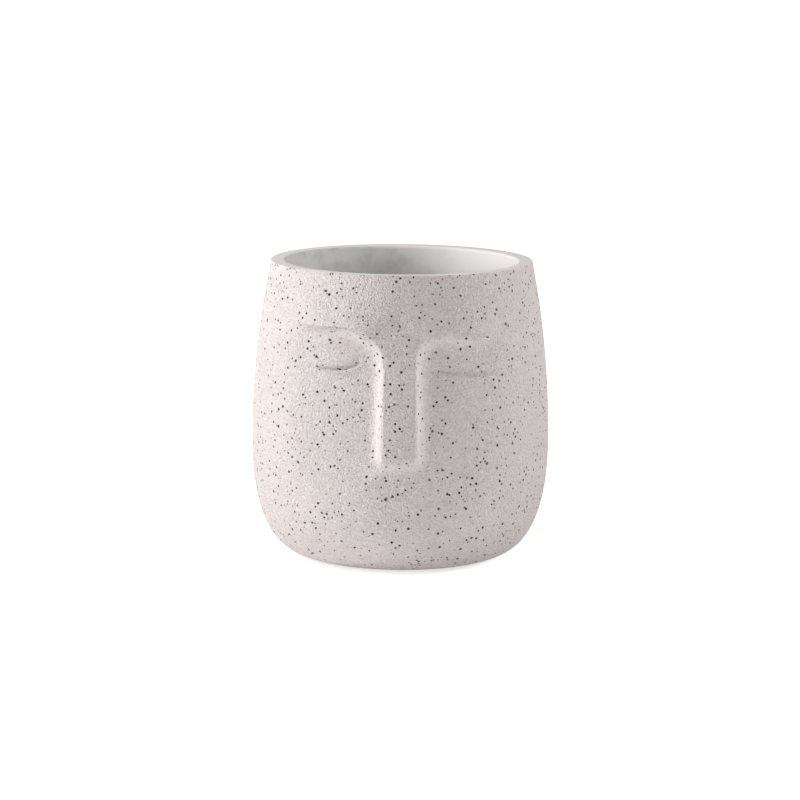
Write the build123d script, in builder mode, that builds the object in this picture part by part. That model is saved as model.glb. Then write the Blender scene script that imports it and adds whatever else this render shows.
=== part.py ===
from build123d import *
from math import copysign, cos, hypot, radians, sin, sqrt
import os

os.makedirs("parts", exist_ok=True)

# Head planter: a round-bellied pot with an open mouth and an abstract face worked into its front.
# Millimetres. +Z is up, the face looks towards -Y, and the origin is on the ground under the middle.

# Overall shape of the pot
height = 120.0
rim_radius = 52.5
belly_radius = 60.1
belly_level = 46.8
foot_radius = 35.2
toe_share = 0.8  # how far the foot's flat line reaches out towards the belly
belly_share = 0.5  # how far the belly's upright line reaches down towards the foot

# Wall, rim and floor
rim_wall = 5.8
belly_wall = 6.6
rim_outer_round = 1.0
rim_inner_round = 2.4
throat_depth = 12.0
floor_wall = 4.6
floor_inset = 5.0

# Drain hole, and the recess under the floor that takes the plug's flange
hole_radius = 6.5
recess_depth = 4.0
recess_round = 0.8

# Drain plug
plug_flange_radius = 11.0
plug_flange_thickness = 2.2
plug_stem_gap = 0.6
plug_rib_height = 1.0
plug_rib_gap = 0.1
rib_level_shares = (0.3, 0.62)  # from the floor's underside to its top
plug_round = 0.5
plug_tip_gap = 0.4
plug_tip_chamfer = 0.8
plug_recess_gap = 1.2
grip_length = 13.0
grip_width = 2.6
grip_height = 1.2

# Drain screen
screen_radius = 16.0
screen_thickness = 1.2
screen_border = 1.6
mesh_hole = 2.3
mesh_bar = 1.1
screen_round = 0.3

# Foot pads
pad_count = 4
pad_radius = 4.5
pad_thickness = 1.6
pad_proud = 0.6
pad_gap = 0.2
pad_round = 0.3
pad_edge = 3.7  # from the foot's edge to a pad
pad_start_angle = 45

# Loose pieces lie this far off their seats
seat_gap = 0.1

# Hollow round the eyes and cheeks. It is deepest at the brows and runs out at the temples.
brow_hollow_depth = 3.5
cheek_hollow_depth = 2.75
temple_angle = 49.5  # round the pot from the nose, in degrees
chin_share = 0.45  # where the hollow runs out under the nose, from the foot to the belly
cove_radius = 5.0

# Brows and nose, which stay at the pot's own surface. The face was shaped by hand, so its sides differ.
left_forehead = 19.2
left_brow_corner = 16.0
left_brow_droop = 1.9
left_nose_width = 7.0
right_forehead = 21.1
right_brow_corner = 11.5
right_brow_droop = 2.5
right_nose_width = 6.4
nose_tip_rise = 1.9  # above the belly's level
nose_tip_corner = 1.4

# Lids, each closed on a curved crease that lies this far below its brow
left_lid_drop = 17.9
left_lid_inner_x = 16.6
left_lid_outer_x = 37.0
left_lid_inner_rise = 4.7
left_lid_outer_rise = 2.7
right_lid_drop = 17.5
right_lid_inner_x = 15.4
right_lid_outer_x = 42.0
right_lid_inner_rise = 3.8
right_lid_outer_rise = 1.8
lid_low_share = 0.42  # where the crease is lowest, from its inner end to its outer end
crease_width = 1.1
crease_depth = 0.7

# Cutting tools reach this far past what they cut
overrun = 2.0

# Levels and sizes that follow from the ones above
foot_level = pad_proud
recess_level = foot_level + recess_depth
floor_level = recess_level + floor_wall
throat_level = height - throat_depth
mouth_radius = rim_radius - rim_wall
inner_belly_radius = belly_radius - belly_wall
inner_floor_radius = foot_radius - floor_inset
recess_radius = plug_flange_radius + plug_recess_gap
pad_circle_radius = foot_radius - pad_edge - pad_radius
left_brow_level = height - left_forehead
right_brow_level = height - right_forehead
nose_tip_level = belly_level + nose_tip_rise


def outer_radius_at(level):
    """The pot's outer radius at a level between the belly and the rim, where its side is one arc."""
    rise = height - belly_level
    inset = belly_radius - rim_radius
    side_radius = (rise**2 + inset**2) / (2 * inset)
    return belly_radius - side_radius + copysign(sqrt(side_radius**2 - (level - belly_level) ** 2), inset)


# The cheeks are turned about an upright axis behind the pot's own, so they are flatter than the pot
brow_radius = outer_radius_at(left_brow_level)
brow_front = brow_radius - brow_hollow_depth
temple_front = brow_radius * cos(radians(temple_angle))
temple_side = brow_radius * sin(radians(temple_angle))
cheek_axis_y = (brow_radius**2 - brow_front**2) / (2 * (brow_front - temple_front))
cheek_radius_at_brow = cheek_axis_y + brow_front
cheek_radius_at_belly = cheek_axis_y + belly_radius - cheek_hollow_depth
cheek_axis = Axis((0, cheek_axis_y, 0), (0, 0, 1))


def low_side_points(low_radius, low_level, wide_radius):
    """The four points that steer a vessel's side from its bottom to its belly."""
    return [
        (low_radius, low_level),
        (low_radius + toe_share * (wide_radius - low_radius), low_level),
        (wide_radius, belly_level - belly_share * (belly_level - low_level)),
        (wide_radius, belly_level),
    ]


def vessel_side(low_radius, low_level, wide_radius, top_radius, top_level):
    """Draw one side of a vessel: out from its bottom, up past its belly and in to its top."""
    low_side = Bezier(*low_side_points(low_radius, low_level, wide_radius))
    TangentArc(low_side @ 1, (top_radius, top_level), tangent=(0, 1))


def cheek_section(inset):
    """Half the section of what lies inside the cheeks, or inside a surface that much deeper than them."""
    pot_side = Bezier(*low_side_points(foot_radius, foot_level, belly_radius))
    chin = pot_side @ chin_share + Vector(cheek_axis_y - inset, 0)
    chin_direction = pot_side % chin_share
    belly_end = Vector(cheek_radius_at_belly - inset, belly_level)
    bend = Vector(belly_end.X, chin.Y + (belly_end.X - chin.X) * chin_direction.Y / chin_direction.X)
    with BuildSketch(Plane.XZ.offset(-cheek_axis_y)) as section_sketch:
        with BuildLine():
            below = Line((chin.X - chin.Y * chin_direction.X / chin_direction.Y, 0), chin)
            Bezier(chin, bend, belly_end)
            cheek = TangentArc(belly_end, (cheek_radius_at_brow - inset, left_brow_level), tangent=(0, 1))
            forehead = Line(cheek @ 1, cheek @ 1 + (cheek % 1) * (height - left_brow_level))
            Polyline(forehead @ 1, (0, (forehead @ 1).Y), (0, 0), below @ 0)
        make_face()
    return section_sketch.sketch


def crease(side, level, inner_x, outer_x, inner_rise, outer_rise):
    """Draw a lid's crease, a thin crescent seen from the front. The side is -1 for left and 1 for right."""
    inner_end = (side * inner_x, level + inner_rise)
    outer_end = (side * outer_x, level + outer_rise)
    low_x = side * (inner_x + lid_low_share * (outer_x - inner_x))
    ThreePointArc(inner_end, (low_x, level), outer_end)
    ThreePointArc(inner_end, (low_x, level + crease_width), outer_end)


# Tool for the hollow below the brows and beside the nose, with a cove along its edge
reach = belly_radius + overrun
tool_side = temple_side + cove_radius
with BuildPart() as face_hollow:
    with BuildSketch(Plane.XZ):
        with BuildLine():
            FilletPolyline(
                (-tool_side, 0),
                (-tool_side, left_brow_level - left_brow_droop),
                (-left_nose_width, left_brow_level),
                (-left_nose_width, nose_tip_level),
                (right_nose_width, nose_tip_level),
                (right_nose_width, right_brow_level),
                (tool_side, right_brow_level - right_brow_droop),
                (tool_side, 0),
                radius=[0, 0, left_brow_corner, nose_tip_corner, nose_tip_corner, right_brow_corner, 0, 0],
                close=True,
            )
        make_face()
    extrude(amount=reach)
    revolve(cheek_section(0), axis=cheek_axis, mode=Mode.SUBTRACT)
    deep_edges = face_hollow.edges(Select.LAST).filter_by(GeomType.BSPLINE)
    fillet(deep_edges.filter_by_position(Axis.X, -temple_side, temple_side), cove_radius)

# Tool for the two creases
left_lid_level = left_brow_level - left_lid_drop
right_lid_level = right_brow_level - right_lid_drop
left_lid_sizes = (left_lid_inner_x, left_lid_outer_x, left_lid_inner_rise, left_lid_outer_rise)
right_lid_sizes = (right_lid_inner_x, right_lid_outer_x, right_lid_inner_rise, right_lid_outer_rise)
with BuildPart() as lid_creases:
    with BuildSketch(Plane.XZ):
        with BuildLine():
            crease(-1, left_lid_level, *left_lid_sizes)
        make_face()
        with BuildLine():
            crease(1, right_lid_level, *right_lid_sizes)
        make_face()
    extrude(amount=reach)
    revolve(cheek_section(crease_depth), axis=cheek_axis, mode=Mode.SUBTRACT)

# Pot: one cast wall and floor, turned, then the face and the sockets for the pads
with BuildPart() as pot_body:
    with BuildSketch(Plane.XZ):
        with BuildLine():
            Line((recess_radius, foot_level), (foot_radius, foot_level))
            vessel_side(foot_radius, foot_level, belly_radius, rim_radius, height)
            Polyline((rim_radius, height), (mouth_radius, height), (mouth_radius, throat_level))
            vessel_side(inner_floor_radius, floor_level, inner_belly_radius, mouth_radius, throat_level)
            Polyline(
                (inner_floor_radius, floor_level),
                (hole_radius, floor_level),
                (hole_radius, recess_level),
                (recess_radius, recess_level),
                (recess_radius, foot_level),
            )
        make_face()
        fillet(vertices().sort_by_distance((rim_radius, height))[0], rim_outer_round)
        fillet(vertices().sort_by_distance((mouth_radius, height))[0], rim_inner_round)
        fillet(vertices().sort_by_distance((recess_radius, foot_level))[0], recess_round)
    revolve(axis=Axis.Z)
    add(face_hollow.part, mode=Mode.SUBTRACT)
    add(lid_creases.part, mode=Mode.SUBTRACT)
    with BuildSketch(Plane.XY.offset(foot_level)):
        with PolarLocations(pad_circle_radius, pad_count, start_angle=pad_start_angle):
            Circle(pad_radius + pad_gap)
    extrude(amount=pad_thickness - pad_proud, mode=Mode.SUBTRACT)
pot_body.part.label = "pot_body"
export_step(pot_body.part, "parts/pot_body.step")

# Drain plug: a flange below the floor, a ribbed stem up through the hole and a grip under the flange
flange_top = recess_level - seat_gap
flange_bottom = flange_top - plug_flange_thickness
stem_top = floor_level - plug_tip_gap
plug_stem_radius = hole_radius - plug_stem_gap
rib_radius = hole_radius - plug_rib_gap
with BuildPart() as drain_plug:
    with BuildSketch(Plane.XZ):
        with BuildLine():
            Polyline(
                (0, flange_bottom),
                (plug_flange_radius, flange_bottom),
                (plug_flange_radius, flange_top),
                (plug_stem_radius, flange_top),
                (plug_stem_radius, stem_top),
                (0, stem_top),
                close=True,
            )
        make_face()
        chamfer(vertices().sort_by_distance((plug_stem_radius, stem_top))[0], plug_tip_chamfer)
        fillet(vertices().sort_by_distance((plug_flange_radius, flange_bottom))[0], plug_round)
        fillet(vertices().sort_by_distance((plug_flange_radius, flange_top))[0], plug_round)
    revolve(axis=Axis.Z)
    for rib_level in [recess_level + floor_wall * rib_share for rib_share in rib_level_shares]:
        with BuildSketch(Plane.XZ):
            with BuildLine():
                Polyline(
                    (0, rib_level - plug_rib_height / 2),
                    (plug_stem_radius, rib_level - plug_rib_height / 2),
                    (rib_radius, rib_level),
                    (plug_stem_radius, rib_level + plug_rib_height / 2),
                    (0, rib_level + plug_rib_height / 2),
                    close=True,
                )
            make_face()
        revolve(axis=Axis.Z)
    with BuildSketch(Plane.XY.offset(flange_bottom)):
        SlotOverall(grip_length, grip_width)
    extrude(amount=-grip_height)
    fillet(faces().sort_by(Axis.Z)[0].edges(), plug_round)
drain_plug.part.label = "drain_plug"
export_step(drain_plug.part, "parts/drain_plug.step")

# Drain screen: a round of square mesh in a plain border, lying on the floor over the hole
mesh_pitch = mesh_hole + mesh_bar
mesh_reach = screen_radius - screen_border - mesh_hole / sqrt(2)
mesh_steps = range(-int(mesh_reach / mesh_pitch), int(mesh_reach / mesh_pitch) + 1)
mesh_places = [
    (column * mesh_pitch, row * mesh_pitch)
    for column in mesh_steps
    for row in mesh_steps
    if hypot(column * mesh_pitch, row * mesh_pitch) <= mesh_reach
]
with BuildPart() as drain_screen:
    with BuildSketch(Plane.XY.offset(floor_level + seat_gap)):
        Circle(screen_radius)
    extrude(amount=screen_thickness)
    fillet(edges(), screen_round)
    with BuildSketch(Plane.XY.offset(floor_level + seat_gap)):
        with Locations(mesh_places):
            Rectangle(mesh_hole, mesh_hole)
    extrude(amount=screen_thickness, mode=Mode.SUBTRACT)
drain_screen.part.label = "drain_screen"
export_step(drain_screen.part, "parts/drain_screen.step")

# Foot pads: thin discs, each stuck in its socket and standing a little proud of the foot
pad_places = PolarLocations(pad_circle_radius, pad_count, start_angle=pad_start_angle).locations
for number, place in enumerate(pad_places, start=1):
    with BuildPart() as foot_pad:
        with BuildSketch(Plane.XY):
            with Locations(place):
                Circle(pad_radius)
        extrude(amount=pad_thickness)
        fillet(foot_pad.edges().group_by(Axis.Z)[0], pad_round)
    foot_pad.part.label = f"foot_pad_{number}"
    export_step(foot_pad.part, f"parts/foot_pad_{number}.step")
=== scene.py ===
from math import asin, atan, cos, pi, radians, sin, tan

import bpy
import numpy as np
from mathutils import Matrix, Vector


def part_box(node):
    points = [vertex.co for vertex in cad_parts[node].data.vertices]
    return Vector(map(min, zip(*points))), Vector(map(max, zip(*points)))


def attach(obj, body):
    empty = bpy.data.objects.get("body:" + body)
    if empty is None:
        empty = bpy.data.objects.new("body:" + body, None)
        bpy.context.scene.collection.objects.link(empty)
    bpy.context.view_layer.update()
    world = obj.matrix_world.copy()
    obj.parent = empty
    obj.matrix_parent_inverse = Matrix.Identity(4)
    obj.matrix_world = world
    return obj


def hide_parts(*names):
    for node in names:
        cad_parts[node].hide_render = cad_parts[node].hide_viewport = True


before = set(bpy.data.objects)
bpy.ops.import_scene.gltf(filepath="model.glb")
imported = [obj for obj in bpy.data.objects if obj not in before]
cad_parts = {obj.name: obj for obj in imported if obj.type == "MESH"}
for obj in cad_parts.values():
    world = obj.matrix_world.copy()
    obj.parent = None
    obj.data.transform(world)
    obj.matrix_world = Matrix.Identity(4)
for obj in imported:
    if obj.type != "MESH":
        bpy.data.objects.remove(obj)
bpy.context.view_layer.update()        # the nodes of the imported model, set in the world

# Millimetres, turned into metres when a piece is finished. +Z is up and the face looks towards -Y.
METRES = 0.001

# Pot, outside: a wide foot line, a round belly and a narrower mouth
pot_low, pot_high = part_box("pot_body")
foot_level = pot_low.z / METRES
height = pot_high.z / METRES
belly_radius = 60.1
belly_level = 46.8
rim_radius = 52.5
foot_radius = 35.2
toe_share = 0.8
belly_share = 0.5

# Pot, wall and inside
mouth_radius = 46.7
throat_level = height - 12.0
inner_belly_radius = 53.5
inner_floor_radius = 30.2
floor_level = 9.2
hole_radius = 6.5
recess_radius = 12.2
recess_level = 4.6
rim_outer_round = 1.2
rim_inner_round = 2.4
recess_round = 0.8

# Sockets under the foot, and the pads in them
pad_count = 4
pad_circle_radius = 27.0
pad_radius = 4.5
pad_thickness = 1.6
pad_start_angle = radians(45)
socket_radius = 4.7
socket_level = 1.6
# Blender cuts this short at half a side of the disc
pad_round = 0.3
pad_dish = 0.12
pad_dish_step = pad_radius / 4

# Drain plug, levels as it sits in its hole
flange_radius = 11.0
flange_bottom = 2.3
flange_top = 4.5
stem_radius = 5.9
stem_top = 8.8
stem_chamfer = 0.8
rib_radius = 6.4
rib_levels = (5.98, 7.45)
rib_half_height = 0.5
grip_length = 13.0
grip_width = 2.6
grip_bottom = 1.1
grip_end_round = grip_width / 2.02
# Blender cuts this short at half the narrow step between the upper rib and the chamfer
plug_round = 0.35
plug_sharp_angle = radians(30)

# Hollow round the eyes and cheeks: each side is turned about an axis behind the pot's own. It
# deepens from the belly to the brows, and a little further up, to this share of that rise.
cheek_axes_y = (22.0, 27.0)
brow_hollow_depths = (5.9, 5.3)
cheek_hollow_depths = (4.8, 4.5)
hollow_top_share = 1.3
chin_level = 12.5
chin_margin = 5.0
temple_blend = 1.2
crest_blend = 0.5

# Brows and nose. The face was shaped by hand, so its sides differ: left first, then right.
brow_levels = (100.8, 98.9)
brow_corners = (16.0, 11.5)
brow_slopes = (0.047, 0.061)
nose_widths = (7.1, 5.9)
nose_tip_level = 48.7
nose_tip_corner = 1.4

# Walls from the hollow's floor up to the crest of nose, brows and tip: a cove, then a slope. The
# slope is easier in the corner where a brow runs into the nose.
nose_cove_radius = 4.2
nose_wall_angle = radians(53)
brow_cove_radius = 7.5
brow_wall_angle = radians(66)
tip_cove_radius = 1.5
tip_wall_angle = radians(42)
brow_blend = 4.0
tip_blend = 1.0
corner_easing = radians(20)
corner_reach = 9.0

# The front swells at the brows, where the hollow is deep enough, and lies back at the nose's bridge
brow_swells = (1.8, 1.1)
brow_swell_reach = 14.0
swell_floor_depth = 3.0
swell_end_levels = (108.0, 117.0)
bridge_depth = 1.8
bridge_level = 92.0
bridge_reach_up = 13.0
bridge_reach_down = 28.0
bridge_half_widths = (8.0, 22.0)

# The walls and what lies beside them are rubbed smoother by the hand that shaped them
rubbed_edge = 0.5
rubbed_reach = (3.5, 7.5)
rubbed_depths = (1.0, 3.0)

# Lip: shallower than the cheeks, from which a fold parts it that softens away from the nose
fold_start = (7.5, 48.0)
fold_end = (19.0, 41.0)
fold_softness = (1.5, 0.4)
lip_rise = 0.4

# Lids: the crease of each has a lowest point, from which it rises as a quarter of an oval towards
# the nose and gently towards the temple. Above it the lid swells, and under it runs a fine ridge.
# The oval is followed to this share of its reach, where it isn't yet upright.
inner_end = 0.97
lid_lows = ((29.0, 82.4), (29.5, 81.2))
inner_reaches = (12.5, 15.5)
inner_rises = (5.5, 3.2)
outer_reaches = (8.0, 12.0)
outer_rises = (1.0, 1.5)
crease_depths = (1.6, 0.8)
crease_upper_width = 1.2
crease_lower_width = 0.55
crease_round = 0.14
ridge_below = 1.1
ridge_width = 0.65
ridge_heights = (0.6, 0.5)
lid_heights = (0.5, 0.4)
lid_reach = 6.5

# Where crease and lid fade, from -1 at the lid's inner end over 0 at its low to 1 at its outer end
crease_inner_fade = (-0.96, -0.86)
crease_outer_fade = (0.1, 1.0)
lid_inner_fade = (-1.1, -0.4)
lid_outer_fade = (0.3, 1.6)

# Fineness of the meshes
merge_reach = 0.001
seam_merge_reach = 0.005
sharp_angle = radians(35)
front_angle = radians(62)
front_steps = 104
back_steps = 80
side_steps = 60
inside_steps = 18
rim_outer_steps = 5
rim_inner_steps = 8
recess_round_steps = 4
socket_sides = 48
pad_sides = 64
pad_round_steps = 4
plug_sides = 96
grip_end_steps = 8
plug_round_steps = 3

# What counts as facing up or down, from a normal's upward part, and how far off a corner counts
facing_up = 0.5
facing_down = -0.99
corner_share = 0.1

# Where the front is made finer: the whole face once, the crests and creases again
face_low = 15.0
face_high = 107.0
face_angle = radians(53)
face_cuts = 1
line_cuts = 2
crest_reach = 1.2
crease_reach = 2.0
tip_margin = 2.0

# The front wall's faces lie this far outside the mouth, and the outside this far outside the inside
inside_margin = 1.0
wall_margin = 2.0

# Stone, sizes in millimetres
stone_blot = 22.0
stone_tones = ((0.845, 0.77, 0.765, 1), (0.865, 0.80, 0.795, 1))
dark_sand = (0.69, 0.628, 0.62, 1)
sand_tone_end = 0.8
sand_grain = 0.5
packed_grain = 0.8
dust_grain = 0.5
skin_depth = 0.7
rubbed_strength = 0.55
stone_roughness = 0.86

# Dark grains: the side of the cells they lie in, their radius and the share of cells that have one
large_grains = (2.0, 0.575, 0.375)
small_grains = (1.6, 0.39, 0.145)
large_grain_colour = (0.012, 0.008, 0.008, 1)
small_grain_colour = (0.05, 0.035, 0.032, 1)
least_grain_share = 0.7
grain_edge = 0.05
palest_grain = 0.8
pale_grain_share = 0.6
cluster_size = 9.0
cluster_noise = (0.3, 0.7)
cluster_amounts = (0.45, 1.5)
wobble_scale = 1.6
wobble_reach = 0.5
grain_turn = (0.9, 0.65, 0.3)

# Rim and inside: where the bare rim begins below the top, and the inside above the recess
rim_bare_drop = rim_outer_round / 4
recess_margin = 0.1
rim_blot = 12.0
rim_tones = ((0.77, 0.725, 0.71, 1), (0.80, 0.76, 0.745, 1))
rim_skin_depth = 0.06
rim_roughness = 0.8
# Painted shade on the inside: it darkens towards the left between these two sideways places, from the
# inside's own colour to the shaded one. The blue-grey smudges are real blotches, but they lie only within
# the painted shade and deepen it.
painted_shade_edges = (-34.0, 32.0)
unshaded_inside = (0.86, 0.835, 0.84, 1)
painted_shade_inside = (0.62, 0.605, 0.61, 1)
smudge_colour = (0.47, 0.475, 0.50, 1)
smudge_size = 7.0
smudge_noise = (0.48, 0.66)
smudge_share = 0.75
inside_roughness = 0.6
inside_wave = 4.0
inside_wave_depth = 0.2

# Fittings: each a colour, its blots and grain in millimetres, and how much its tone changes
foam_finish = {
    "colour": (0.09, 0.088, 0.085),
    "roughness": 0.95,
    "blot": 2.1,
    "grain": 0.35,
    "depth": 0.12,
    "spread_of_tone": 0.3,
}
rubber_finish = {
    "colour": (0.045, 0.044, 0.043),
    "roughness": 0.7,
    "blot": 3.0,
    "grain": 0.5,
    "depth": 0.03,
    "spread_of_tone": 0.2,
}
screen_finish = {
    "colour": (0.03, 0.03, 0.031),
    "roughness": 0.45,
    "blot": 2.4,
    "grain": 0.4,
    "depth": 0.02,
    "spread_of_tone": 0.15,
}

# View: the photograph's, from a little above, with the pot's middle at this place in the image
view_distance = 1350.0
view_elevation = radians(9.585)
view_roll = radians(0.5)
view_lens = 150.0
film_width = 36.0
image_width = 800
target_level = 60.0
middle_right_px = 0.6
middle_below_px = 6.47
view_near = 0.05
view_far = 50.0

# Lamps, in metres and watts
left_box = {"distance": 0.8, "width": 0.3, "power": 4.35, "colour": (1.0, 0.99, 0.97)}
low_left_box = {"distance": 0.8, "width": 0.3, "power": 2.3, "colour": (1.0, 0.99, 0.97)}
right_box = {"distance": 0.8, "width": 0.3, "power": 3.4, "colour": (1.0, 0.985, 0.97)}
front_box = {"distance": 1.3, "width": 0.9, "power": 4.15, "colour": (1.0, 1.0, 1.0)}

# Surround and floor, in metres
surround_strength = 0.08
white = (1, 1, 1, 1)
floor_half_side = 12.0
floor_colour = (0.9, 0.9, 0.9, 1)
floor_lift = 0.6
floor_lift_reach = (0.1, 0.5)
floor_glow = 0.065

# A brighter patch of floor at the front left, as a reflector card there would give
card_glow = 0.2
card_place = (-0.07, -0.12, 0.0)
card_edge = (0.04, 0.16)


def start_afresh():
    """Leave edit mode and deselect everything."""
    if bpy.context.object and bpy.context.object.mode != "OBJECT":
        bpy.ops.object.mode_set(mode="OBJECT")
    bpy.ops.object.select_all(action="DESELECT")


def pick(piece, *others):
    """Select these objects alone, the first one active."""
    start_afresh()
    for each in (piece, *others):
        each.select_set(True)
    bpy.context.view_layer.objects.active = piece


def edit(piece, mode="VERT"):
    """Go into edit mode on one piece with nothing selected."""
    pick(piece)
    bpy.ops.object.mode_set(mode="EDIT")
    bpy.ops.mesh.select_mode(type=mode)
    bpy.ops.mesh.select_all(action="DESELECT")


def choose(piece, kind, chosen):
    """Select the vertices, edges or polygons whose flags are set, then go on in edit mode."""
    modes = {"vertices": "VERT", "edges": "EDGE", "polygons": "FACE"}
    edit(piece, modes[kind])
    bpy.ops.object.mode_set(mode="OBJECT")
    getattr(piece.data, kind).foreach_set("select", np.asarray(chosen, bool))
    bpy.ops.object.mode_set(mode="EDIT")


def corners_of(piece):
    """The places of a mesh's vertices, one row each."""
    places = np.empty(len(piece.data.vertices) * 3)
    piece.data.vertices.foreach_get("co", places)
    return places.reshape(-1, 3)


def rows_of_faces(piece, what):
    """The middles ("center") or directions ("normal") of a mesh's faces, one row each."""
    rows = np.empty(len(piece.data.polygons) * 3)
    piece.data.polygons.foreach_get(what, rows)
    return rows.reshape(-1, 3)


def apply_modifier(piece, kind, **settings):
    """Add a modifier, set it and apply it."""
    pick(piece)
    added = piece.modifiers.new(kind.lower(), kind)
    for name, value in settings.items():
        setattr(added, name, value)
    bpy.ops.object.modifier_apply(modifier=added.name)


def merge_corners(piece):
    """Merge the corners of a mesh that lie in one place, and drop the faces without width there."""
    edit(piece)
    bpy.ops.mesh.select_all(action="SELECT")
    bpy.ops.mesh.remove_doubles(threshold=merge_reach)
    start_afresh()


def dress(piece, *materials):
    """Give a piece these materials and no others."""
    piece.data.materials.clear()
    for material in materials:
        piece.data.materials.append(material)


def finish_piece(piece, name, body, slot, *nodes):
    """Bring a piece to metres, smooth it and hang it on its body in place of its nodes."""
    start_afresh()
    piece.name = name
    piece.data.name = name
    piece.data.transform(piece.matrix_world)
    piece.matrix_world = Matrix.Identity(4)
    piece.data.transform(Matrix.Scale(METRES, 4))
    pick(piece)
    bpy.ops.object.shade_smooth_by_angle(angle=sharp_angle)
    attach(piece, body)
    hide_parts(*nodes)
    start_afresh()


def arc_handle(drop, inset):
    """How far the handles of a side's arc reach, and the angle that the arc turns through."""
    radius = (drop**2 + inset**2) / (2 * inset)
    turn = asin(drop / radius)
    return 4 / 3 * tan(turn / 4) * radius, turn


def section_point(place, direction):
    """A section's (radius, level) as a point in this direction from the pot's axis."""
    radius, level = place
    return Vector((radius * cos(direction), radius * sin(direction), level))


def draw_side(name, knots, steps, direction):
    """A curve through (radius, level) knots with their two handles, made a chain of edges."""
    start_afresh()
    bpy.ops.curve.primitive_bezier_curve_add()
    curve = bpy.context.object
    curve.name = name
    spline = curve.data.splines[0]
    spline.bezier_points.add(len(knots) - len(spline.bezier_points))
    for point, (before, place, after) in zip(spline.bezier_points, knots):
        point.handle_left_type = "VECTOR" if before is None else "FREE"
        point.handle_right_type = "VECTOR" if after is None else "FREE"
        point.co = section_point(place, direction)
        point.handle_left = section_point(before or place, direction)
        point.handle_right = section_point(after or place, direction)
    curve.data.resolution_u = steps
    bpy.ops.object.convert(target="MESH")
    return bpy.context.object


def outside_knots():
    """The pot's outside, from the recess under it to the rim's inner edge."""
    reach, turn = arc_handle(height - belly_level, belly_radius - rim_radius)
    toe = foot_radius + toe_share * (belly_radius - foot_radius)
    upright = belly_level - belly_share * (belly_level - foot_level)
    shoulder = (rim_radius + reach * sin(turn), height - reach * cos(turn))
    return [
        (None, (recess_radius, foot_level), None),
        (None, (foot_radius, foot_level), (toe, foot_level)),
        ((belly_radius, upright), (belly_radius, belly_level), (belly_radius, belly_level + reach)),
        (shoulder, (rim_radius, height), None),
        (None, (mouth_radius, height), None),
    ]


def inside_knots():
    """The pot's inside, from the rim's inner edge down to the drain hole and its recess."""
    reach, turn = arc_handle(throat_level - belly_level, inner_belly_radius - mouth_radius)
    toe = inner_floor_radius + toe_share * (inner_belly_radius - inner_floor_radius)
    upright = belly_level - belly_share * (belly_level - floor_level)
    neck = (mouth_radius + reach * sin(turn), throat_level - reach * cos(turn))
    belly = (inner_belly_radius, belly_level)
    return [
        (None, (mouth_radius, height), None),
        (None, (mouth_radius, throat_level), neck),
        ((inner_belly_radius, belly_level + reach), belly, (inner_belly_radius, upright)),
        ((toe, floor_level), (inner_floor_radius, floor_level), None),
        (None, (hole_radius, floor_level), None),
        (None, (hole_radius, recess_level), None),
        (None, (recess_radius, recess_level), None),
        (None, (recess_radius, foot_level), None),
    ]


def round_corner(profile, place, size, steps):
    """Round the corner of a profile that lies at this (radius, level)."""
    places = corners_of(profile)
    radii = np.hypot(places[:, 0], places[:, 1])
    off_corner = np.hypot(radii - place[0], places[:, 2] - place[1])
    choose(profile, "vertices", off_corner < corner_share * size)
    bpy.ops.mesh.bevel(offset=size, segments=steps, affect="VERTICES")
    start_afresh()


def draw_section(direction):
    """The pot's whole section as one chain of edges, with its corners rounded."""
    outside = draw_side("pot_outside", outside_knots(), side_steps, direction)
    inside = draw_side("pot_inside", inside_knots(), inside_steps, direction)
    pick(outside, inside)
    bpy.ops.object.join()
    edit(outside)
    bpy.ops.mesh.select_all(action="SELECT")
    bpy.ops.mesh.remove_doubles(threshold=merge_reach)
    round_corner(outside, (rim_radius, height), rim_outer_round, rim_outer_steps)
    round_corner(outside, (mouth_radius, height), rim_inner_round, rim_inner_steps)
    round_corner(outside, (recess_radius, foot_level), recess_round, recess_round_steps)
    return outside


def turn_pot():
    """Draw the pot's section at one edge of the face, and spin it round, finely across the face."""
    pot = draw_section(-pi / 2 - front_angle)
    edit(pot, "EDGE")
    bpy.ops.mesh.select_all(action="SELECT")
    middle, upwards = (0, 0, 0), (0, 0, 1)
    bpy.ops.mesh.spin(steps=front_steps, angle=2 * front_angle, center=middle, axis=upwards)
    bpy.ops.mesh.spin(steps=back_steps, angle=2 * pi - 2 * front_angle, center=middle, axis=upwards)
    bpy.ops.mesh.select_all(action="SELECT")
    bpy.ops.mesh.remove_doubles(threshold=seam_merge_reach)
    bpy.ops.mesh.normals_make_consistent(inside=False)
    start_afresh()
    return pot


def cut_sockets(pot):
    """Cut the shallow round sockets for the pads into the foot."""
    for number in range(pad_count):
        angle = pad_start_angle + number * 2 * pi / pad_count
        start_afresh()
        bpy.ops.mesh.primitive_cylinder_add(
            vertices=socket_sides,
            radius=socket_radius,
            depth=2 * socket_level,
            location=(pad_circle_radius * cos(angle), pad_circle_radius * sin(angle), 0),
        )
        cutter = bpy.context.object
        apply_modifier(pot, "BOOLEAN", operation="DIFFERENCE", object=cutter, solver="EXACT")
        bpy.data.objects.remove(cutter)


def smooth_step(low, high, value):
    """0 below low, 1 above high, and a smooth rise between."""
    share = np.clip((value - low) / (high - low), 0, 1)
    return share * share * (3 - 2 * share)


def smooth_max(one, other, blend):
    """The larger of two, with the corner where they meet rounded."""
    near = np.maximum(blend - np.abs(one - other), 0) / blend
    return np.maximum(one, other) + near * near * blend / 4


def outer_radius(level):
    """The pot's own outer radius above the belly, which its side's arc gives."""
    rise = height - belly_level
    inset = belly_radius - rim_radius
    side_radius = (rise**2 + inset**2) / (2 * inset)
    return belly_radius - side_radius + np.sqrt(side_radius**2 - np.maximum(level - belly_level, 0) ** 2)


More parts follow.
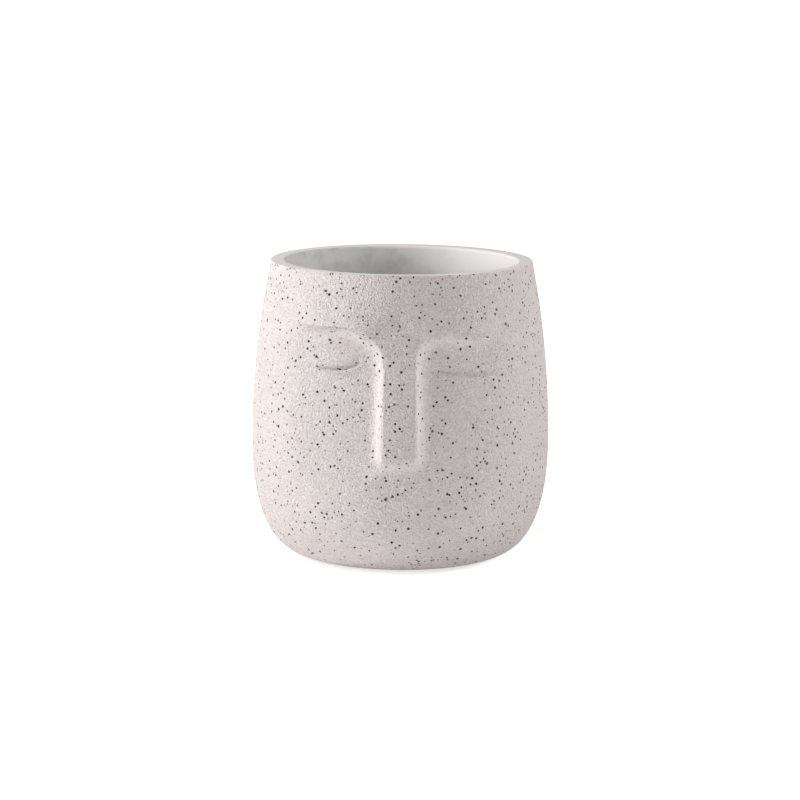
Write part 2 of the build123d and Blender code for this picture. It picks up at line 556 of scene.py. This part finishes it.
def cheek_depth(x, angle, level, radius):
    """How deep the cheeks lie under the pot's own surface at an angle from the nose."""
    left = x < 0
    axis_y = np.where(left, *cheek_axes_y)
    brow_depth = np.where(left, *brow_hollow_depths)
    belly_depth = np.where(left, *cheek_hollow_depths)
    up = np.clip((level - belly_level) / (brow_levels[0] - belly_level), 0, hollow_top_share)
    front = outer_radius(level) - belly_depth - (brow_depth - belly_depth) * up
    fade = 1 - smooth_step(0, 1, (belly_level - level) / (belly_level - chin_level))
    front = np.where(level < belly_level, radius - belly_depth * fade, front)
    across = np.sqrt(np.maximum((front + axis_y) ** 2 - (axis_y * np.sin(angle)) ** 2, 0))
    depth = radius - (across - axis_y * np.cos(angle))
    return smooth_max(depth, 0 * depth, temple_blend)


def outline_distance(x, level):
    """How far a place lies outside the brows and nose, its lean to a brow, and its share of the tip."""
    left = x < 0
    out = np.abs(x)
    width = np.where(left, *nose_widths)
    corner = np.where(left, *brow_corners)
    brow = np.where(left, *brow_levels) - np.where(left, *brow_slopes) * np.maximum(out - width, 0)
    beside = out - width + nose_tip_corner
    below = nose_tip_level - level + nose_tip_corner
    from_nose = np.hypot(np.maximum(beside, 0), np.maximum(below, 0)) - nose_tip_corner
    from_nose = from_nose + np.minimum(np.maximum(beside, below), 0)
    from_brow = brow - level
    inner = np.hypot(np.maximum(corner - from_nose, 0), np.maximum(corner - from_brow, 0))
    distance = corner - inner + np.maximum(np.minimum(from_nose, from_brow) - corner, 0)
    at_tip = smooth_step(-tip_blend, tip_blend, np.maximum(below, 0) - np.maximum(beside, 0))
    return distance, from_nose - from_brow, at_tip


def lid_line(out, side):
    """The level of one lid's crease at a distance from the face's middle, and its slope."""
    low_x, low_level = lid_lows[side]
    inwards = np.clip((low_x - out) / inner_reaches[side], 0, inner_end)
    outwards = np.maximum((out - low_x) / outer_reaches[side], 0)
    fall = np.sqrt(1 - inwards**2)
    level = low_level + inner_rises[side] * (1 - fall) + outer_rises[side] * outwards**2
    inner_slope = inner_rises[side] / inner_reaches[side] * inwards / fall
    return level, inner_slope + 2 * outer_rises[side] / outer_reaches[side] * outwards


def lid_relief(x, level, side):
    """How far one lid's crease sinks in, less the fine ridge under it and the swell of the lid above."""
    out = x if side else -x
    low_x = lid_lows[side][0]
    line, slope = lid_line(out, side)
    above = (level - line) / np.hypot(1, slope)
    along = (out - low_x) / np.where(out < low_x, inner_reaches[side], outer_reaches[side])
    off_line = np.hypot(above, crease_round) - crease_round
    width = np.where(above > 0, crease_upper_width, crease_lower_width)
    crease_fade = smooth_step(*crease_inner_fade, along) * (1 - smooth_step(*crease_outer_fade, along))
    crease = crease_depths[side] * np.exp(-off_line / width) * crease_fade
    ridge = ridge_heights[side] * np.exp(-(((above + ridge_below) / ridge_width) ** 2)) * crease_fade
    lid_fade = smooth_step(*lid_inner_fade, along) * (1 - smooth_step(*lid_outer_fade, along))
    swell = 1 - np.exp(-np.maximum(above, 0) / crease_upper_width)
    swell = swell * np.exp(-((above / lid_reach) ** 2))
    return crease - ridge - lid_heights[side] * swell * lid_fade


def wall_height(run, cove, angle):
    """Height of a wall over its foot: a cove that turns into a straight slope."""
    turn = cove * np.sin(angle)
    in_cove = np.clip(run, 0, turn)
    return cove - np.sqrt(cove**2 - in_cove**2) + np.maximum(run - turn, 0) * np.tan(angle)


def wall_run(rise, cove, angle):
    """How far from its foot such a wall reaches a height."""
    turn_height = cove * (1 - np.cos(angle))
    in_cove = np.clip(rise, 0, turn_height)
    return np.sqrt(cove**2 - (cove - in_cove) ** 2) + np.maximum(rise - turn_height, 0) / np.tan(angle)


def front_swell(x, level, floor, off_outline, brow_share):
    """How far the front stands out at a crest and at a place: brows stand out, the bridge lies back."""
    size = np.where(x < 0, *brow_swells) * brow_share * smooth_step(0, swell_floor_depth, floor)
    size = size * (1 - smooth_step(*swell_end_levels, level))
    reach = np.where(level > bridge_level, bridge_reach_up, bridge_reach_down)
    bridge = bridge_depth * np.exp(-(((level - bridge_level) / reach) ** 2))
    bridge = bridge * (1 - smooth_step(*bridge_half_widths, np.abs(x)))
    inwards = np.minimum(off_outline, 0)
    return size - bridge, size * np.exp(-((inwards / brow_swell_reach) ** 2)) - bridge


def lip_share(x, level):
    """How much a place belongs to the lip and chin, and not to the cheeks."""
    run = np.subtract(fold_end, fold_start)
    out = np.abs(x)
    below = ((out - fold_start[0]) * run[1] - (level - fold_start[1]) * run[0]) / np.hypot(*run)
    softness = fold_softness[0] + fold_softness[1] * out
    return smooth_step(-softness, softness, below)


def face_depth(x, level, angle, radius):
    """How deep the face is carved under the pot's own surface."""
    floor = cheek_depth(x, angle, level, radius) * (1 - lip_rise * lip_share(x, level))
    off_outline, lean, tip_share = outline_distance(x, level)
    brow_share = smooth_step(-brow_blend, brow_blend, lean)
    cove = nose_cove_radius + (brow_cove_radius - nose_cove_radius) * brow_share
    cove = cove + (tip_cove_radius - cove) * tip_share
    slope = nose_wall_angle + (brow_wall_angle - nose_wall_angle) * brow_share
    slope = slope - corner_easing * np.exp(-((lean / corner_reach) ** 2))
    slope = slope + (tip_wall_angle - slope) * tip_share
    crest, swell = front_swell(x, level, floor, off_outline, brow_share)
    wall = wall_height(wall_run(floor + crest, cove, slope) - off_outline, cove, slope)
    depth = smooth_max(floor - wall, -swell, crest_blend)
    lids = lid_relief(x, level, 0) * (x < 0) + lid_relief(x, level, 1) * (x > 0)
    return depth + lids * smooth_step(0, cove / 2, off_outline) * smooth_step(0, 1, depth)


def refine(pot, near, cuts):
    """Divide the faces of the front wall that a test of (x, level) picks."""
    places = rows_of_faces(pot, "center")
    angle = np.arctan2(places[:, 0], -places[:, 1])
    wall = np.hypot(places[:, 0], places[:, 1]) > mouth_radius + inside_margin
    wall |= places[:, 2] < floor_level / 2
    chosen = wall & (np.abs(angle) < face_angle) & near(places[:, 0], places[:, 2])
    choose(pot, "polygons", chosen)
    bpy.ops.mesh.subdivide(number_cuts=cuts)
    start_afresh()


def on_face(x, level):
    """Where the face's hollows, brows and nose lie."""
    return (level > face_low) & (level < face_high)


def near_lines(x, level):
    """Where the crests of the brows and nose and the creases of the lids run."""
    near = np.abs(outline_distance(x, level)[0]) < crest_reach
    for side, (low_x, low_level) in enumerate(lid_lows):
        out = x if side else -x
        line, slope = lid_line(out, side)
        along = (out > low_x - inner_reaches[side]) & (out < low_x + outer_reaches[side])
        near |= along & (np.abs(level - line) < crease_reach * np.hypot(1, slope))
    return near & (level > nose_tip_level - tip_margin)


def carve_face(pot):
    """Push the face into the front, and note for the material where it is rubbed smoother."""
    refine(pot, on_face, face_cuts)
    refine(pot, near_lines, line_cuts)
    places = corners_of(pot)
    radius = np.hypot(places[:, 0], places[:, 1])
    angle = np.arctan2(places[:, 0], -places[:, 1])
    level = places[:, 2]
    wall_levels = (foot_level, belly_level, height)
    wall_radii = (0, inner_belly_radius + wall_margin, mouth_radius + wall_margin)
    in_wall = np.interp(level, wall_levels, wall_radii)
    outside = (radius > in_wall) & (level < height - rim_outer_round)
    front = outside & (np.abs(angle) < pi / 2) & (level > chin_level - chin_margin)
    depth = np.zeros(len(places))
    depth[front] = face_depth(places[front, 0], level[front], angle[front], radius[front])
    share = (radius - depth) / np.maximum(radius, 1)
    off_outline = outline_distance(places[front, 0], level[front])[0]
    places[:, 0] *= share
    places[:, 1] *= share
    pot.data.vertices.foreach_set("co", places.ravel())
    rubbed = np.zeros(len(places))
    rubbed[front] = smooth_step(-rubbed_edge, rubbed_edge, off_outline)
    rubbed[front] *= 1 - smooth_step(*rubbed_reach, off_outline)
    rubbed[front] *= smooth_step(*rubbed_depths, depth[front])
    pot.data.attributes.new("rubbed", "FLOAT", "POINT").data.foreach_set("value", rubbed)
    pot.data.update()


def make_pot():
    """The pot, one cast piece."""
    pot = turn_pot()
    cut_sockets(pot)
    carve_face(pot)
    finish_piece(pot, "pot_shell", "pot", "speckled_body", "pot_body")
    return pot


def shape_pad(away):
    """A foam disc with soft edges and a slightly dished face."""
    start_afresh()
    bpy.ops.mesh.primitive_cylinder_add(
        vertices=pad_sides, radius=pad_radius, depth=pad_thickness, location=away)
    pad = bpy.context.object
    edit(pad, "FACE")
    bpy.ops.mesh.select_all(action="SELECT")
    bpy.ops.mesh.bevel(offset=pad_round, segments=pad_round_steps, affect="EDGES", clamp_overlap=True)
    merge_corners(pad)
    choose(pad, "polygons", rows_of_faces(pad, "normal")[:, 2] < facing_down)
    bpy.ops.mesh.inset(thickness=pad_dish_step)
    bpy.ops.mesh.inset(thickness=pad_dish_step)
    bpy.ops.transform.translate(value=(0, 0, pad_dish))
    start_afresh()
    return pad


def make_pads(foam):
    """Four copies of the pad, one in each socket."""
    away = Vector((pad_circle_radius, 0, pad_thickness / 2))
    pad = shape_pad(away)
    for number in range(pad_count):
        piece = pad.copy()
        piece.data = pad.data.copy()
        bpy.context.scene.collection.objects.link(piece)
        angle = pad_start_angle + number * 2 * pi / pad_count
        piece.matrix_world = Matrix.Rotation(angle, 4, "Z") @ Matrix.Translation(away)
        finish_piece(piece, f"foam_pad_{number + 1}", "pot", "pad_foam", f"foot_pad_{number + 1}")
        dress(piece, foam)
    bpy.data.objects.remove(pad)


def plug_section():
    """The (radius, level) corners of the plug: a flange, and a stem with ribs and a chamfered top."""
    corners = [(0, flange_bottom), (flange_radius, flange_bottom), (flange_radius, flange_top)]
    corners.append((stem_radius, flange_top))
    for level in rib_levels:
        corners.append((stem_radius, level - rib_half_height))
        corners.append((rib_radius, level))
        corners.append((stem_radius, level + rib_half_height))
    corners.append((stem_radius, stem_top - stem_chamfer))
    corners.append((stem_radius - stem_chamfer, stem_top))
    corners.append((0, stem_top))
    return corners


def turn_plug():
    """The flange and stem, spun round."""
    plug = draw_side("plug_side", [(None, corner, None) for corner in plug_section()], 1, 0.0)
    edit(plug, "EDGE")
    bpy.ops.mesh.select_all(action="SELECT")
    bpy.ops.mesh.spin(steps=plug_sides, angle=2 * pi, center=(0, 0, 0), axis=(0, 0, 1))
    bpy.ops.mesh.select_all(action="SELECT")
    bpy.ops.mesh.remove_doubles(threshold=merge_reach)
    bpy.ops.mesh.normals_make_consistent(inside=False)
    start_afresh()
    return plug


def shape_grip():
    """A bar with round ends, from half way up the flange down to the grip's lower face."""
    depth = (flange_bottom + flange_top) / 2 - grip_bottom
    bpy.ops.mesh.primitive_cube_add(size=1, location=(0, 0, grip_bottom + depth / 2))
    grip = bpy.context.object
    grip.scale = (grip_length, grip_width, depth)
    bpy.ops.object.transform_apply(location=True, scale=True)
    levels = corners_of(grip)[:, 2]
    upright = [abs(levels[edge.vertices[0]] - levels[edge.vertices[1]]) > depth / 2
               for edge in grip.data.edges]
    choose(grip, "edges", upright)
    bpy.ops.mesh.bevel(offset=grip_end_round, segments=grip_end_steps, affect="EDGES")
    start_afresh()
    return grip


def make_plug(rubber):
    """Rubber plug: a flange under the floor, a ribbed stem up through the hole and a grip below."""
    plug = turn_plug()
    grip = shape_grip()
    apply_modifier(plug, "BOOLEAN", operation="UNION", object=grip, solver="EXACT")
    bpy.data.objects.remove(grip)
    apply_modifier(
        plug,
        "BEVEL",
        width=plug_round,
        segments=plug_round_steps,
        limit_method="ANGLE",
        angle_limit=plug_sharp_angle,
    )
    merge_corners(plug)
    finish_piece(plug, "rubber_plug", "plug", "plug_rubber", "drain_plug")
    dress(plug, rubber)


def add_node(tree, kind, inputs=None, **settings):
    """A shader node with its settings; its inputs are values or other nodes' sockets."""
    added = tree.nodes.new(kind)
    for name, value in settings.items():
        setattr(added, name, value)
    for name, value in (inputs or {}).items():
        if isinstance(value, bpy.types.NodeSocket):
            tree.links.new(value, added.inputs[name])
        else:
            added.inputs[name].default_value = value
    return added


def maths(tree, operation, one, other=0.0, third=0.0):
    """The result of a sum on numbers or sockets."""
    return add_node(tree, "ShaderNodeMath", {0: one, 1: other, 2: third}, operation=operation).outputs[0]


def scaled(tree, vector, factor):
    """A vector made this many times as long."""
    inputs = {0: vector, "Scale": factor}
    return add_node(tree, "ShaderNodeVectorMath", inputs, operation="SCALE").outputs[0]


def new_material(name):
    """A material with its shader and its places in millimetres."""
    material = bpy.data.materials.new(name)
    material.use_nodes = True
    tree = material.node_tree
    place = add_node(tree, "ShaderNodeTexCoord").outputs["Object"]
    return material, tree, tree.nodes["Principled BSDF"], scaled(tree, place, 1 / METRES)


def cloud(tree, place, size, detail=2.0, roughness=0.5):
    """Soft noise whose blots are about as large as size."""
    inputs = {"Vector": place, "Scale": 1 / size, "Detail": detail, "Roughness": roughness}
    return add_node(tree, "ShaderNodeTexNoise", inputs).outputs["Fac"]


def cells(tree, place, size):
    """Cells about as large as size: each has its colour, and its distance grows from its middle."""
    return add_node(tree, "ShaderNodeTexVoronoi", {"Vector": place, "Scale": 1 / size}).outputs


def channels(tree, colour):
    """The three channels of a colour, which serve as three chances."""
    return add_node(tree, "ShaderNodeSeparateColor", {0: colour}).outputs


def spread(tree, value, low, high, to_low=0.0, to_high=1.0, interpolation="LINEAR"):
    """A value's range, from low to high, stretched to another range."""
    inputs = {"Value": value, "From Min": low, "From Max": high, "To Min": to_low, "To Max": to_high}
    return add_node(tree, "ShaderNodeMapRange", inputs, interpolation_type=interpolation).outputs["Result"]


def mix_colours(tree, share, one, other):
    """One colour turning into another."""
    mixer = add_node(tree, "ShaderNodeMix", {0: share, 6: one, 7: other}, data_type="RGBA")
    return mixer.outputs[2]


def add_bump(tree, shader, height_value, depth, strength=1.0):
    """Bump of a depth in millimetres."""
    inputs = {"Strength": strength, "Distance": depth * METRES, "Height": height_value}
    bump = add_node(tree, "ShaderNodeBump", inputs)
    tree.links.new(bump.outputs[0], shader.inputs["Normal"])


def grit(tree, place, clusters, cell, radius, amount):
    """How much of a dark grain shows: grains of about one radius, one in some of the cells."""
    pattern = cells(tree, place, cell)
    chance, size, darkness = channels(tree, pattern["Color"])
    present = maths(tree, "LESS_THAN", chance, maths(tree, "MULTIPLY", clusters, amount))
    least = least_grain_share * radius / cell
    edge = maths(tree, "MULTIPLY_ADD", size, (1 - least_grain_share) * radius / cell, least)
    inside = maths(tree, "SUBTRACT", edge, pattern["Distance"])
    soft = grain_edge / cell
    shown = spread(tree, inside, -soft, soft, interpolation="SMOOTHSTEP")
    shown = maths(tree, "MULTIPLY", shown, present)
    dark = spread(tree, darkness, 0.0, pale_grain_share, palest_grain, 1.0)
    return maths(tree, "MULTIPLY", shown, dark)


def grain_places(tree, place):
    """Places turned and shaken, so that grains stand in no rows and aren't quite round."""
    wobble = add_node(tree, "ShaderNodeTexNoise", {"Vector": place, "Scale": wobble_scale, "Detail": 1.0})
    shake = scaled(tree, wobble.outputs["Color"], wobble_reach)
    shaken = add_node(tree, "ShaderNodeVectorMath", {0: place, 1: shake}, operation="ADD").outputs[0]
    return add_node(tree, "ShaderNodeMapping", {"Vector": shaken, "Rotation": grain_turn}).outputs[0]


def sandy_height(tree, place):
    """The height of the sandy skin, as a share of its depth: packed round grains with finer dust."""
    packed = cells(tree, place, packed_grain)["Distance"]
    dust = cloud(tree, place, dust_grain, roughness=0.6)
    return maths(tree, "SUBTRACT", dust, packed)


def speckled_stone():
    """The outside: warm off-white, matte and sandy, with dark grains."""
    material, tree, shader, place = new_material("speckled_stone")
    pale = mix_colours(tree, cloud(tree, place, stone_blot), *stone_tones)
    tone = channels(tree, cells(tree, place, sand_grain)["Color"])[0]
    body = mix_colours(tree, spread(tree, tone, 0.0, sand_tone_end), dark_sand, pale)
    clusters = spread(tree, cloud(tree, place, cluster_size, detail=1.0), *cluster_noise, *cluster_amounts)
    turned = grain_places(tree, place)
    body = mix_colours(tree, grit(tree, turned, clusters, *small_grains), body, small_grain_colour)
    body = mix_colours(tree, grit(tree, turned, clusters, *large_grains), body, large_grain_colour)
    tree.links.new(body, shader.inputs["Base Color"])
    shader.inputs["Roughness"].default_value = stone_roughness
    rubbed = add_node(tree, "ShaderNodeAttribute", attribute_name="rubbed").outputs["Fac"]
    strength = spread(tree, rubbed, 0.0, 1.0, 1.0, rubbed_strength)
    add_bump(tree, shader, sandy_height(tree, place), skin_depth, strength)
    return material


def bare_rim():
    """The rim: the same stone rubbed smoother, with no grains."""
    material, tree, shader, place = new_material("bare_rim")
    pale = mix_colours(tree, cloud(tree, place, rim_blot), *rim_tones)
    tree.links.new(pale, shader.inputs["Base Color"])
    shader.inputs["Roughness"].default_value = rim_roughness
    add_bump(tree, shader, sandy_height(tree, place), rim_skin_depth)
    return material


def cloudy_inside():
    """The inside: smooth, with painted shade darkening it towards the left, where faint blue-grey smudges
    lie and deepen it.
    """
    material, tree, shader, place = new_material("cloudy_inside")
    sideways = add_node(tree, "ShaderNodeSeparateXYZ", {0: place}).outputs[0]
    # Painted shade: the inside darker towards the left, where the light from the left leaves it in shadow
    painted_shade = spread(tree, sideways, *painted_shade_edges, 1.0, 0.0, "SMOOTHSTEP")
    grey = mix_colours(tree, painted_shade, unshaded_inside, painted_shade_inside)
    smudge = spread(tree, cloud(tree, place, smudge_size, detail=4.0, roughness=0.6), *smudge_noise)
    smudge = maths(tree, "MULTIPLY", smudge, maths(tree, "MULTIPLY", painted_shade, smudge_share))
    grey = mix_colours(tree, smudge, grey, smudge_colour)
    tree.links.new(grey, shader.inputs["Base Color"])
    shader.inputs["Roughness"].default_value = inside_roughness
    add_bump(tree, shader, cloud(tree, place, inside_wave), inside_wave_depth)
    return material


def plain_material(name, colour, roughness, blot, grain, depth, spread_of_tone):
    """A dark moulded material with a fine grain and blots of a slightly different tone."""
    material, tree, shader, place = new_material(name)
    shade = mix_colours(
        tree,
        cloud(tree, place, blot),
        tuple(channel * (1 - spread_of_tone) for channel in colour) + (1,),
        tuple(channel * (1 + spread_of_tone) for channel in colour) + (1,),
    )
    tree.links.new(shade, shader.inputs["Base Color"])
    shader.inputs["Roughness"].default_value = roughness
    add_bump(tree, shader, cloud(tree, place, grain, detail=3.0), depth)
    return material


def dress_pot(pot):
    """Speckled outside and foot, bare rim, cloudy inside."""
    dress(pot, speckled_stone(), bare_rim(), cloudy_inside())
    places = rows_of_faces(pot, "center") / METRES
    facing = rows_of_faces(pot, "normal")
    inwards = facing[:, 0] * places[:, 0] + facing[:, 1] * places[:, 1] < 0
    on_floor = (facing[:, 2] > facing_up) & (places[:, 2] < belly_level)
    inside = (places[:, 2] > recess_level + recess_margin) & (inwards | on_floor)
    rim = places[:, 2] > height - rim_bare_drop
    index = np.where(rim, 1, np.where(inside, 2, 0))
    pot.data.polygons.foreach_set("material_index", index.astype(np.int32))


def dress_screen():
    """The drain screen keeps its CAD shape and gets its plastic."""
    dress(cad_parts["drain_screen"], plain_material("screen_plastic", **screen_finish))


def place_camera():
    """The camera, aimed so that the pot's middle falls where it does in the photograph."""
    camera = bpy.data.objects.new("camera", bpy.data.cameras.new("camera"))
    bpy.context.scene.collection.objects.link(camera)
    camera.data.lens = view_lens
    camera.data.sensor_width = film_width
    camera.data.clip_start = view_near
    camera.data.clip_end = view_far
    away = Vector((0, -cos(view_elevation), sin(view_elevation))) * view_distance
    place = (Vector((0, 0, target_level)) + away) * METRES
    pixel_angle = film_width / view_lens / image_width
    turn = Matrix.Rotation(atan(middle_right_px * pixel_angle), 4, "Y")
    tilt = Matrix.Rotation(atan(middle_below_px * pixel_angle), 4, "X")
    roll = Matrix.Rotation(view_roll, 4, "Z")
    facing = away.to_track_quat("Z", "Y").to_matrix().to_4x4()
    camera.matrix_world = Matrix.Translation(place) @ facing @ turn @ tilt @ roll
    bpy.context.scene.camera = camera


def add_softbox(name, azimuth, elevation, distance, width, power, colour):
    """A square lamp that faces the pot from an azimuth round it, 0 in front and 90 at the right."""
    lamp = bpy.data.objects.new(name, bpy.data.lights.new(name, "AREA"))
    bpy.context.scene.collection.objects.link(lamp)
    lamp.data.shape = "SQUARE"
    lamp.data.size = width
    lamp.data.energy = power
    lamp.data.color = colour
    lamp.visible_camera = False
    towards = Vector((sin(azimuth) * cos(elevation), -cos(azimuth) * cos(elevation), sin(elevation)))
    lamp.location = towards * distance + Vector((0, 0, target_level * METRES))
    lamp.rotation_euler = towards.to_track_quat("Z", "Y").to_euler()


def seen_share(tree):
    """1 for the camera, also by gloss or through glass, and 0 for the light on matte surfaces."""
    ray = add_node(tree, "ShaderNodeLightPath").outputs
    seen = maths(tree, "MAXIMUM", ray["Is Camera Ray"], ray["Is Glossy Ray"])
    return maths(tree, "MAXIMUM", seen, ray["Is Transmission Ray"])


def light_stage():
    """Strong soft light from the left, weaker from the right and front, and an even pale surround."""
    add_softbox("left_softbox", radians(-90), radians(40), **left_box)
    add_softbox("low_left_softbox", radians(-75), radians(10), **low_left_box)
    add_softbox("right_softbox", radians(90), radians(20), **right_box)
    add_softbox("front_softbox", radians(0), radians(20), **front_box)
    world = bpy.data.worlds.new("surround")
    bpy.context.scene.world = world
    world.use_nodes = True
    tree = world.node_tree
    background = tree.nodes["Background"]
    strength = maths(tree, "MULTIPLY_ADD", seen_share(tree), 1 - surround_strength, surround_strength)
    tree.links.new(strength, background.inputs["Strength"])
    background.inputs["Color"].default_value = white


def pale_floor():
    """A matte floor, lifted to white for the camera, less so near the pot, where its shadow lies."""
    material = bpy.data.materials.new("pale_floor")
    material.use_nodes = True
    tree = material.node_tree
    tree.nodes.remove(tree.nodes["Principled BSDF"])
    matte = add_node(tree, "ShaderNodeBsdfDiffuse", {"Color": floor_colour})
    place = add_node(tree, "ShaderNodeTexCoord").outputs["Object"]
    away = add_node(tree, "ShaderNodeVectorMath", {0: place}, operation="LENGTH").outputs["Value"]
    lift = spread(tree, away, *floor_lift_reach, floor_lift, 1.0, "SMOOTHSTEP")
    inputs = {0: place, 1: card_place}
    off_card = add_node(tree, "ShaderNodeVectorMath", inputs, operation="DISTANCE").outputs["Value"]
    card = spread(tree, off_card, *card_edge, card_glow, floor_glow, "SMOOTHSTEP")
    strength = maths(tree, "MAXIMUM", maths(tree, "MULTIPLY", seen_share(tree), lift), card)
    glow = add_node(tree, "ShaderNodeEmission", {"Strength": strength})
    both = add_node(tree, "ShaderNodeAddShader", {0: matte.outputs[0], 1: glow.outputs[0]})
    tree.links.new(both.outputs[0], tree.nodes["Material Output"].inputs["Surface"])
    return material


def lay_floor():
    """The floor under the pot, which keeps its soft shadow."""
    start_afresh()
    bpy.ops.mesh.primitive_plane_add(size=2 * floor_half_side, location=(0, 0, 0))
    floor = bpy.context.object
    floor.name = "floor"
    dress(floor, pale_floor())
    start_afresh()


place_camera()
pot = make_pot()
dress_pot(pot)
make_pads(plain_material("pad_foam", **foam_finish))
make_plug(plain_material("soft_rubber", **rubber_finish))
dress_screen()
light_stage()
lay_floor()
bpy.context.scene.view_settings.view_transform = "Standard"
